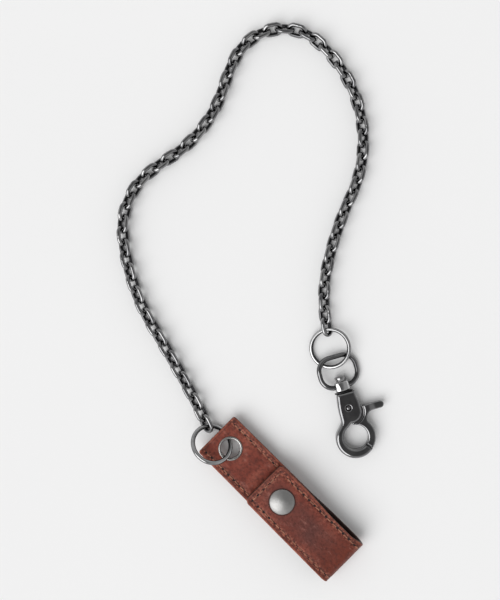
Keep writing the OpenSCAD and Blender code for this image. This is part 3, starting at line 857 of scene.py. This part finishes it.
def stitch(pile, s, y, out, across=False):
    """One stitch: a short bowed thread that dives into the leather at both ends, with its two holes."""

    def spot(along, aside):
        return (s + aside, y + along) if across else (s + along, y + aside)

    def on_face(at, lift):
        return on_strap(*at, out * (PLY_T + lift))

    reach = STITCH_PITCH / 2 - STITCH_INSET
    points, flat = [], []
    for t in np.linspace(-1, 1, THREAD_STEPS + 1):
        rise = THREAD_BOW * math.sqrt(max(1 - t**4, 0)) - THREAD_SINK
        size = THREAD_R * (1 - THREAD_TAPER * t**4)
        for b in np.arange(THREAD_SIDES) * 2 * math.pi / THREAD_SIDES:
            at = spot(reach * t, size * math.cos(b))
            lift = rise + size * THREAD_PRESS * math.sin(b)
            points.append(on_face(at, lift))
            flat.append(np.array([*at, lift]) * MM)
    faces = ring_faces(THREAD_STEPS + 1, THREAD_SIDES, False)
    last = THREAD_STEPS * THREAD_SIDES
    faces += [tuple(range(THREAD_SIDES)), tuple(last + j for j in reversed(range(THREAD_SIDES)))]
    pile.add(points, faces, 0, flat)
    # each hole holds a near-black disc of painted shade
    for end in (-1, 1):
        shift = end * (STITCH_PITCH / 2 - HOLE_INSET)
        hole = []
        for b in np.arange(HOLE_SIDES) * 2 * math.pi / HOLE_SIDES:
            hole.append(on_face(spot(shift + HOLE_LONG * math.cos(b), HOLE_WIDE * math.sin(b)), -HOLE_RIM))
        hole.append(on_face(spot(shift, 0), -HOLE_DEEP))
        pile.add(hole, [(j, (j + 1) % HOLE_SIDES, HOLE_SIDES) for j in range(HOLE_SIDES)], 1)


def seam_line(pile, s_from, s_to, out):
    count = int((s_to - s_from) / STITCH_PITCH)
    for side in (-1, 1):
        for k in range(count):
            s = s_from + (k + 0.5) * STITCH_PITCH
            stitch(pile, s, side * (strap_half(s) - SEAM_INSET), out)


def thread_piece(pile, name):
    piece = pile.piece(name, [THREAD, HOLE_SHADE])
    add_vectors(piece.data, "flat", pile.flat)
    return piece


leather_back = leather_panel("leather_back", 0.0, S_MID_FOLD, True, False, True)
leather_flap = leather_panel("leather_flap", S_MID_FOLD, S_END, False, True, False)
pile = Pile()
seam_line(pile, SEAM_INSET, S_MID_FOLD - SEAM_STOP, 1)
seam_line(pile, SEAM_INSET, S_MID_FOLD - INNER_SEAM_STOP, -1)
back_thread = thread_piece(pile, "back_thread")
pile = Pile()
flap_seam_end = S_END - SEAM_INSET
flap_count = int((flap_seam_end - S_MID_FOLD - SEAM_STOP) / STITCH_PITCH)
seam_line(pile, flap_seam_end - flap_count * STITCH_PITCH, flap_seam_end, 1)
seam_line(pile, S_FLAP + INNER_SEAM_START, flap_seam_end, -1)
cross_half = half_width(FLAP_END + SEAM_INSET) - SEAM_INSET
cross_count = int(2 * cross_half / STITCH_PITCH)
for k in range(cross_count):
    y = (k + 0.5 - cross_count / 2) * 2 * cross_half / cross_count
    for out in (1, -1):
        stitch(pile, flap_seam_end, y, out, across=True)
flap_thread = thread_piece(pile, "flap_thread")

# The back's leather and thread ride the back; the flap's leather and thread keep their place, and the CAD
# parts they replace are hidden
dress(leather_back, "back", "leather_brown", "back_outer", "back_inner")
dress(back_thread, "back", "sewing_thread", "back_stitching")
for piece, slot_name, nodes in (
    (leather_flap, "leather_brown", ("flap_outer", "flap_inner")),
    (flap_thread, "sewing_thread", ("flap_stitching",)),
):
    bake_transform(piece)
    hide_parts(*nodes)


# Snap and grommet

LATHE_SIDES = 96
CAP_RIM = 0.4
CAP_DOME = 1.8
CAP_LIP = 0.35
DOME_STEPS = 18
CAP_STEM_R = 1.9
CAP_SEAT = 0.12
RIM_STEPS = 14
RIM_SEAT = 0.15
CURL = 0.12
CURL_DEPTH = 0.5
WASHER_CLEAR = 0.05
WASHER_SEAT = 0.12


def lathe_piece(name, profile, at, material):
    points, faces = lathe(profile, LATHE_SIDES)
    return mesh_piece(name, points + np.array(at), faces, [material])


def paint_node(name, material):
    """Gives a CAD node that stays in view its material."""
    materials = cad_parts[name].data.materials
    materials.clear()
    materials.append(material)


dome_r = (CAP_R**2 + CAP_DOME**2) / (2 * CAP_DOME)
dome = [
    (r, CAP_RIM + CAP_DOME - dome_r + math.sqrt(dome_r**2 - r**2))
    for r in np.linspace(0, CAP_R - CAP_LIP, DOME_STEPS)
]
lip_z = dome[-1][1]
# the dome, its rolled lip and the stem
cap_profile = dome + [
    (CAP_R - 0.18, lip_z - 0.10), (CAP_R - 0.04, lip_z - 0.25), (CAP_R, lip_z - 0.42),
    (CAP_R - 0.03, 0.12), (CAP_R - 0.12, 0.02), (CAP_R - 0.3, -CAP_SEAT),
    (CAP_STEM_R, -CAP_SEAT), (CAP_STEM_R, -PANEL_T), (0, -PANEL_T),
]
dress(
    lathe_piece("snap_cap_dome", cap_profile[::-1], (SNAP_X, 0, FLAP_TOP), SATIN),
    "flap", "antique_nickel", "snap_cap",
)
rim_mid = GROMMET_R + RIM_R
bar_r = GROMMET_R + GROMMET_WALL
curl_z = -PANEL_T - CURL_DEPTH
end_z = -PANEL_T - RIM_R
rim_profile = [
    *arc((rim_mid, 0), RIM_R, 180, -8, RIM_STEPS),
    (rim_mid + RIM_R - 0.1, -RIM_SEAT), (bar_r, -RIM_SEAT), (bar_r, curl_z),
    (bar_r - CURL, end_z), (GROMMET_R + 0.1, end_z), (GROMMET_R, curl_z),
]
dress(
    lathe_piece("grommet_rim", rim_profile, (GROMMET_X, 0, BACK_TOP), NICKEL),
    "back", "antique_nickel", "grommet",
)
washer_mid = bar_r + WASHER_CLEAR + RIM_R
washer_profile = [
    *arc((washer_mid, 0), RIM_R, 0, -180, RIM_STEPS),
    (washer_mid - RIM_R, WASHER_SEAT), (washer_mid + RIM_R, WASHER_SEAT),
]
dress(
    lathe_piece("grommet_back", washer_profile, (GROMMET_X, 0, BACK_Z), NICKEL),
    "back", "antique_nickel", "grommet_washer",
)
for node in ("snap_socket", "snap_stud", "snap_post"):
    paint_node(node, NICKEL)


# Chain and rings

RING_STEPS = 120
RING_SIDES = 24
# Share of painted shade along a ring's outer rim
RIM_SHADE = 0.95
LINK_SIDES = 20
BEND_STEPS = 20
SIDE_STEPS = 8
WELD_REACH = 0.55
WELD_RISE = 0.07
# How the strap ring hangs in the grommet, and where on it the chain starts
RING_TIP = -34.0
RING_TURN = 31.0
RING_PHASE = 110.0
RING_SINK = 0.45
# How the clip ring lies at the chain's end
CLIP_TURN = -2.0
CLIP_ROLL = 11.0


def round_ring(radius, wire):
    a = np.arange(RING_STEPS) * 2 * math.pi / RING_STEPS
    outward = np.stack([np.cos(a), np.sin(a), 0 * a], 1)
    return flat_loop_tube(radius * outward, outward, np.full(RING_STEPS, wire / 2), RING_SIDES)


def link_form():
    """One link along X, with a slight weld swelling on one of its sides."""
    path, outward = [], []
    for end in (1, -1):
        for k in range(BEND_STEPS + 1):
            a = math.radians(-90 * end + 180 * k / BEND_STEPS)
            outward.append((math.cos(a), math.sin(a), 0))
            path.append((end * LINK_SIDE / 2 + LINK_BEND_R * math.cos(a), LINK_BEND_R * math.sin(a), 0))
        for k in range(1, SIDE_STEPS):
            path.append((end * LINK_SIDE * (0.5 - k / SIDE_STEPS), end * LINK_BEND_R, 0))
            outward.append((0, end, 0))
    path, outward = np.array(path), np.array(outward, float)
    weld = np.isclose(path[:, 1], LINK_BEND_R) * bell(path[:, 0], WELD_REACH)
    return flat_loop_tube(path, outward, LINK_WIRE_R + WELD_RISE * weld, LINK_SIDES)


headings = [START_HEADING]
for count, bend in CHAIN_RUNS:
    for _ in range(count):
        headings.append(headings[-1] + bend)
ring_hold = np.array([GROMMET_X, 0, BACK_Z + PLY_T - RING_SINK])
phase = math.radians(RING_PHASE)
tip_part = STRAP_RING_R * math.sin(phase) * math.sin(math.radians(RING_TIP))
swing_part = STRAP_RING_R * (1 - math.cos(phase))
chain_drop = (CHAIN_Z - ring_hold[2]) / math.hypot(tip_part, swing_part)
ring_lean = math.degrees(math.asin(chain_drop) - math.atan2(tip_part, swing_part))
ring_turned = tilt(RING_TIP, ring_lean, RING_TURN)
ring_reach = STRAP_RING_R * np.array([math.cos(phase) - 1, math.sin(phase), 0])
ring_meet = ring_hold + ring_turned @ ring_reach
pivots = [ring_meet - heading_line(headings[0]) * ((STRAP_RING_WIRE + LINK_GAP) / 2 + RING_SLACK)]
for h in headings:
    pivots.append(pivots[-1] + heading_line(h) * LINK_PITCH)
link_points, link_faces = link_form()


def placed_link(i):
    roll = -LINK_ROLL if i % 2 == 0 else LINK_ROLL
    return link_points @ tilt(roll, 0, headings[i]).T + (pivots[i] + pivots[i + 1]) / 2


def ring_piece(name, points, faces):
    # rings get painted shade inside the wire and along the outer rim
    return paint_loop_shade(mesh_piece(name, points, faces, [RING_METAL]), RING_SIDES, RIM_SHADE)


points, faces = round_ring(STRAP_RING_R, STRAP_RING_WIRE)
points = (points - [STRAP_RING_R, 0, 0]) @ ring_turned.T + ring_hold
dress(ring_piece("strap_ring_wire", points, faces), "strap_ring", "gunmetal", "strap_ring")
link = mesh_piece("first_link_wire", placed_link(0), link_faces, [GUNMETAL])
# painted shade inside each wire loop
dress(paint_loop_shade(link, LINK_SIDES), "first_link", "gunmetal", "first_link")
for k in range(1, len(headings) // 2 + 1):
    pile = Pile()
    for i in (2 * k - 1, 2 * k):
        pile.add(placed_link(i), link_faces)
    node = f"link_pair_{k:02d}"
    # painted shade inside each wire loop
    dress(paint_loop_shade(pile.piece(f"links_{k:02d}", [GUNMETAL]), LINK_SIDES), node, "gunmetal", node)
clip_heading = headings[-1] + CLIP_TURN
clip_meet = pivots[-1] - heading_line(headings[-1]) * ((CLIP_RING_WIRE + LINK_GAP) / 2 + RING_SLACK)
clip_mid = clip_meet + heading_line(clip_heading) * CLIP_RING_R
points, faces = round_ring(CLIP_RING_R, CLIP_RING_WIRE)
points = points @ tilt(CLIP_ROLL, 0, clip_heading).T + clip_mid
dress(ring_piece("clip_ring_wire", points, faces), "clip_ring", "gunmetal", "clip_ring")


# Swivel and hook

# Where the eye hangs in the clip ring
EYE_ALONG = 4.7
EYE_ASIDE = 1.5
EYE_STEPS = 18
BLOCK_SIDES = 72
RIVET_SIDES = 48
# Boss and washer round the swivel's post: half widths, bore, and places along the axis with their insets
POST_BORE = 1.75
BOSS_HALF = (3.8, 2.25)
BOSS_ENDS = [
    (-5.8, -0.6), (-5.72, -0.3), (-5.5, -0.08), (-5.2, 0),
    (-1.6, 0), (-1.3, -0.08), (-1.08, -0.3), (-1.0, -0.6),
]
WASHER_HALF = (4.6, 2.3)
WASHER_ENDS = [(-0.7, -0.25), (-0.66, -0.1), (-0.58, 0), (-0.22, 0), (-0.14, -0.1), (-0.1, -0.25)]
# Half the post's outline as radius and place along the axis, from its head to the hook
POST_PROFILE = [
    (0, -8.6), (1.9, -8.55), (2.5, -8.4), (2.8, -8.1), (2.85, -7.7),
    (2.4, -6.1), (2.2, -5.97), (1.69, -5.95), (1.69, 0), (0, 0),
]

eye_hold = (
    clip_mid + heading_line(clip_heading) * EYE_ALONG + heading_line(HOOK_HEADING + 90) * EYE_ASIDE
)
hook_at = eye_hold - heading_line(HOOK_HEADING) * EYE_HIGH
hook_turned = turn("Z", HOOK_HEADING)


def in_hook(points):
    """Points of the hook's frame, with its axis along X, in the strap's frame."""
    return points @ hook_turned.T + hook_at


def eye_form():
    """The eye's wire, a loop with four round corners."""
    path, outward = [], []
    flat = EYE_W / 2 - EYE_CORNER
    for u, v, start in (
        (EYE_LOW - EYE_CORNER, flat, 0), (EYE_HIGH + EYE_CORNER, flat, 90),
        (EYE_HIGH + EYE_CORNER, -flat, 180), (EYE_LOW - EYE_CORNER, -flat, 270),
    ):
        for a in np.radians(np.linspace(start, start + 90, EYE_STEPS + 1)):
            outward.append((math.cos(a), math.sin(a), 0))
            path.append((u + EYE_CORNER * math.cos(a), v + EYE_CORNER * math.sin(a), 0))
    path, outward = np.array(path), np.array(outward, float)
    return flat_loop_tube(path, outward, np.full(len(path), EYE_WIRE / 2), RING_SIDES)


points, faces = eye_form()
eye = mesh_piece("eye_wire", in_hook(points @ tilt(EYE_LEAN, 0, 0).T), faces, [GUNMETAL])
# painted shade inside the eye's loop and along its outer rim
dress(paint_loop_shade(eye, RING_SIDES, RIM_SHADE), "swivel_eye", "gunmetal", "swivel_eye")


def flat_block(half, ends, bore):
    """A block across the swivel's axis with an oval section, rounded ends and a bore."""
    b = np.arange(BLOCK_SIDES) * 2 * math.pi / BLOCK_SIDES
    sizes = [(u, half[0] + grow, half[1] + grow) for u, grow in ends]
    sizes += [(ends[-1][0], bore, bore), (ends[0][0], bore, bore)]
    rings = [np.stack([0 * b + u, v * np.cos(b), w * np.sin(b)], 1) for u, v, w in sizes]
    return np.concatenate(rings), ring_faces(len(rings), BLOCK_SIDES, True)


points, faces = flat_block(BOSS_HALF, BOSS_ENDS, POST_BORE)
boss = mesh_piece("eye_boss", in_hook(points @ tilt(EYE_LEAN, 0, 0).T), faces, [RING_METAL])
dress(boss, "swivel_eye", "gunmetal")
points, faces = lathe(POST_PROFILE, RIVET_SIDES)
points = np.stack([points[:, 2], points[:, 1], -points[:, 0]], 1)
dress(mesh_piece("post_rivet", in_hook(points), faces, [GUNMETAL]), "hook", "gunmetal", "swivel_post")
points, faces = flat_block(WASHER_HALF, WASHER_ENDS, POST_BORE)
dress(mesh_piece("washer_plate", in_hook(points), faces, [BLACK]), "hook", "gunmetal", "swivel_washer")


# Hook and trigger castings, in the hook's frame: grids to shape them on, roundings, slot, bores and recess
GRID_STEP = 0.2
HOOK_BOX = ((-0.7, -11.0, -3.5), (34.2, 8.2, 3.5))
TRIGGER_BOX = ((3.9, -3.9, -3.1), (31.6, 18.7, 3.1))
NOSE_ANGLE = -10
OPENING_END = -155
SLOT_MOUTH_ANGLE = 184
SLOT_MOUTH_INSET = 0.6
SLOT_FAR = 40
HOOK_BORE_CLEAR = 0.02
BORE_CHAMFER = 0.35
GATE_ROOT_ANGLE = 178
TRIGGER_ROUND = 0.6
GATE_ROUND = 0.75
GATE_FADE = 2
TRIGGER_BORE_CLEAR = 0.06
RECESS_R = 2.5
RECESS_TOP = 0.6
# Reach of the painted shade in the notch
NOTCH_REACH = 0.9


def polar(mid_u, r, degrees):
    """A point round a place on the hook's axis."""
    a = math.radians(degrees)
    return np.array([mid_u + r * math.cos(a), r * math.sin(a)])


def cheek_side(side):
    top, wide = CHEEK_SHIFT + side * HOOK_TOP_W / 2, CHEEK_SHIFT + side * CHEEK_R
    return curve((0, top), (NOSE_U / 3, (top + wide) / 2), (NOSE_U * 2 / 3, wide), (NOSE_U, wide), steps=16)


def hook_outline():
    """Round the hook's body: arm, bow, the inside of the opening, nose and cheek."""
    waist, arm_start = CHEEK_SHIFT - CHEEK_R, NOSE_U + CHEEK_R / 2
    a = math.radians(ARM_ANGLE)
    join = np.array(BOW_AT) + BOW_R * np.array([math.cos(a), math.sin(a)])
    arm = curve(
        (arm_start, waist), (arm_start + ARM_PULL, waist),
        join - ARM_PULL * np.array([-math.sin(a), math.cos(a)]), join, steps=24,
    )
    ray = polar(0, 1, TIP_ANGLE)
    off = np.array([HOLE_U, 0]) - BOW_AT
    reach = -off @ ray + math.sqrt((off @ ray) ** 2 - off @ off + BOW_R**2)
    tip = off + reach * ray
    tip_on_bow = math.degrees(math.atan2(tip[1], tip[0]))
    return np.concatenate([
        cheek_side(-1), arm, arc(BOW_AT, BOW_R, ARM_ANGLE, tip_on_bow, steps=72)[1:],
        arc((HOLE_U, 0), HOLE_R, TIP_ANGLE, OPENING_END, steps=72),
        arc((NOSE_U, CHEEK_SHIFT), CHEEK_R, NOSE_ANGLE, 90, steps=32), cheek_side(1)[-2::-1],
    ])


def trigger_outline():
    """Round the trigger: hub, neck, gate and thumb tab."""
    join = polar(HOLE_U, GATE_R, GATE_LAP)
    lap = math.radians(GATE_LAP)
    foot = np.array([TAB_U + TAB_R, TAB_FOOT])
    neck = curve(
        join, join - NECK_PULL * np.array([math.sin(lap), -math.cos(lap)]),
        foot - [0, TAB_R + NECK_PULL / 2], foot, steps=20,
    )
    return np.concatenate([
        arc((PIVOT_U, 0), HUB_R, NECK_HIGH, 360 + NECK_LOW, steps=40),
        arc((HOLE_U, 0), HOLE_R, GATE_ROOT_ANGLE, GATE_START, steps=60),
        arc((HOLE_U, 0), GATE_R, GATE_START, GATE_LAP, steps=48), neck[1:],
        arc((TAB_U, TAB_REACH - TAB_R), TAB_R, 0, 180, steps=24), [[TAB_U - TAB_R, TAB_ROOT]],
    ])


def grid(box):
    """Grid values of a box: two across the hook's plane, and one through its thickness."""
    u, v, w = (np.arange(low, high + GRID_STEP, GRID_STEP) for low, high in zip(*box))
    return *np.meshgrid(u, v, indexing="ij"), w[None, None, :]


def hook_casting():
    """The hook's body with the trigger's slot and the pin's bore."""
    u, v, w = grid(HOOK_BOX)
    body = rounded_slab(outline_depth(hook_outline(), u, v)[..., None], w, HOOK_T / 2, HOOK_ROUND)
    slot_line = np.array([
        (PIVOT_U - SLOT_R, 0), (PIVOT_U - SLOT_R, SLOT_FAR), (HOLE_U, SLOT_FAR), (HOLE_U, HUB_R),
        polar(HOLE_U, HOLE_R - SLOT_MOUTH_INSET, SLOT_MOUTH_ANGLE), polar(PIVOT_U, SLOT_R, NECK_LOW),
    ])
    from_pin = np.hypot(u - PIVOT_U, v)
    slot = np.minimum(outline_depth(slot_line, u, v), from_pin - SLOT_R)[..., None]
    body = np.maximum(body, -np.maximum(slot, np.abs(w) - SLOT_W / 2))
    bore = PIN_R + HOOK_BORE_CLEAR + np.maximum(0, np.abs(w) - HOOK_T / 2 + BORE_CHAMFER)
    body = np.maximum(body, bore - from_pin[..., None])
    return skin(body, np.array(HOOK_BOX[0]), GRID_STEP)


def trigger_casting():
    """The trigger, thin in the slot and thicker in the gate, with the pin's bore and a spring recess."""
    u, v, w = grid(TRIGGER_BOX)
    depth = outline_depth(trigger_outline(), u, v)[..., None]
    shoulder = (CHEEK_R + SHOULDER_GAP - np.hypot(u - NOSE_U, v - CHEEK_SHIFT))[..., None]
    thick = 1 - smooth(TAB_FOOT - GATE_FADE, TAB_FOOT + GATE_FADE, v)[..., None]
    half = (TRIGGER_T + (GATE_T - TRIGGER_T) * thick) / 2
    body = rounded_slab(depth, w, TRIGGER_T / 2, TRIGGER_ROUND)
    body = np.minimum(body, rounded_slab(np.maximum(depth, shoulder), w, half, GATE_ROUND))
    from_pin = np.hypot(u - PIVOT_U, v)[..., None]
    body = np.maximum(body, PIN_R + TRIGGER_BORE_CLEAR - from_pin)
    body = np.maximum(body, -np.maximum(from_pin - RECESS_R, w - RECESS_TOP))
    return skin(body, np.array(TRIGGER_BOX[0]), GRID_STEP)


def casting(name, points, faces):
    """A cast piece of the hook, with painted shade in the notch between the gate's tip and the bow."""
    piece = mesh_piece(name, in_hook(points), faces, [HOOK_METAL])
    u, v = points[:, 0] - HOLE_U, points[:, 1]
    past_notch = np.arctan2(v, u) - math.radians((TIP_ANGLE + GATE_START) / 2)
    # painted shade in the notch's gap
    add_floats(piece.data, "painted_shade", bell(np.hypot(u, v) * past_notch, NOTCH_REACH))
    return piece


dress(casting("hook_casting", *hook_casting()), "hook", "gunmetal", "hook_body")
dress(casting("trigger_casting", *trigger_casting()), "trigger", "gunmetal", "trigger")
pin_head = [
    (r, HOOK_T / 2 - drop)
    for r, drop in ((0, 0), (0.5, 0.08), (0.9, 0.32), (1.2, 0.72), (PIN_R, 1.1))
]
pin_profile = [(r, -z) for r, z in pin_head] + pin_head[::-1]
points, faces = lathe(pin_profile, RIVET_SIDES)
pin = mesh_piece("pin_rivet", in_hook(points + [PIVOT_U, 0, 0]), faces, [PIN_METAL])
dress(pin, "hook", "plain_steel", "trigger_pin")
paint_node("trigger_spring", STEEL)


# Floor, light and camera

FLOOR_HALF = 3.0
FLOOR_TONES = [(0.3, (0.850, 0.850, 0.850)), (0.7, (0.862, 0.862, 0.862))]
FLOOR_SHINE = 0.1
# Brightness of the room on its two sides, from level with the floor to straight above
LAMP_SIDE = ((0.0, 0.82), (0.28, 0.82), (0.45, 1.00), (0.80, 0.62), (0.94, 0.20), (1.0, 0.14))
FAR_SIDE = ((0.0, 0.82), (0.26, 0.74), (0.42, 0.42), (0.80, 0.40), (0.94, 0.18), (1.0, 0.14))
SIDE_REACH = 0.8
# The view's middle in the strap's frame, then in metres its height, the camera's distance and what it spans
VIEW_AT = (-35.32, 59.08, 0.0)
VIEW_Z = 0.004
VIEW_AWAY = 0.42
VIEW_TALL = 0.300
VIEW_TURN = 45
SENSOR = 36.0
CLIP_START = 0.01


def plain_floor():
    s = Shader("pale_floor", roughness=0.85)
    s.link(s.ramp(s.noise(s.spot(), 3, detail=2), FLOOR_TONES), "Base Color")
    s.bsdf.inputs["Specular IOR Level"].default_value = FLOOR_SHINE
    mesh = bpy.data.meshes.new("floor")
    corners = [(x * FLOOR_HALF, y * FLOOR_HALF, 0) for x, y in ((-1, -1), (1, -1), (1, 1), (-1, 1))]
    mesh.from_pydata(corners, [], [(0, 1, 2, 3)])
    mesh.materials.append(s.material)
    floor = new_object("floor", mesh)


def studio_world():
    """A dim room with a paler side behind the lamp, which polished metal mirrors."""
    world = bpy.data.worlds.new("studio")
    world.use_nodes = True
    tree = world.node_tree
    split = tree.nodes.new("ShaderNodeSeparateXYZ")
    tree.links.new(tree.nodes.new("ShaderNodeTexCoord").outputs["Generated"], split.inputs[0])
    side = tree.nodes.new("ShaderNodeMapRange")
    side.inputs["From Min"].default_value = -SIDE_REACH
    side.inputs["From Max"].default_value = SIDE_REACH
    tree.links.new(split.outputs["Y"], side.inputs["Value"])
    blend = tree.nodes.new("ShaderNodeMix")
    blend.data_type = "RGBA"
    tree.links.new(side.outputs["Result"], blend.inputs[MIX_SHARE])
    for socket, stops in ((MIX_UNDER, LAMP_SIDE), (MIX_OVER, FAR_SIDE)):
        ramp = tree.nodes.new("ShaderNodeValToRGB")
        tree.links.new(split.outputs["Z"], ramp.inputs[0])
        set_stops(ramp, [(at, (value, value, value)) for at, value in stops])
        tree.links.new(ramp.outputs["Color"], blend.inputs[socket])
    tree.links.new(blend.outputs[MIX_RESULT], tree.nodes["Background"].inputs["Color"])
    bpy.context.scene.world = world


def soft_sun(name, heading, elevation, width, strength):
    """A wide, far lamp, so the floor is lit evenly and shadows have soft edges."""
    light = bpy.data.lights.new(name, "SUN")
    light.angle = math.radians(width)
    light.energy = strength
    lamp = new_object(name, light)
    lamp.rotation_euler = (math.radians(90 - elevation), 0, math.radians(heading + 90))


plain_floor()
studio_world()
soft_sun("key", heading=268, elevation=49, width=56, strength=2.12)

camera_data = bpy.data.cameras.new("overhead")
camera_data.sensor_fit = "VERTICAL"
camera_data.sensor_height = SENSOR
camera_data.lens = SENSOR * VIEW_AWAY / VIEW_TALL
camera_data.clip_start = CLIP_START
camera = new_object("overhead", camera_data)
camera.location = (*row(VIEW_AT)[:2], VIEW_Z + VIEW_AWAY)
camera.rotation_euler = (0, 0, math.radians(VIEW_TURN))
bpy.context.scene.camera = camera
bpy.context.scene.view_settings.view_transform = "Standard"
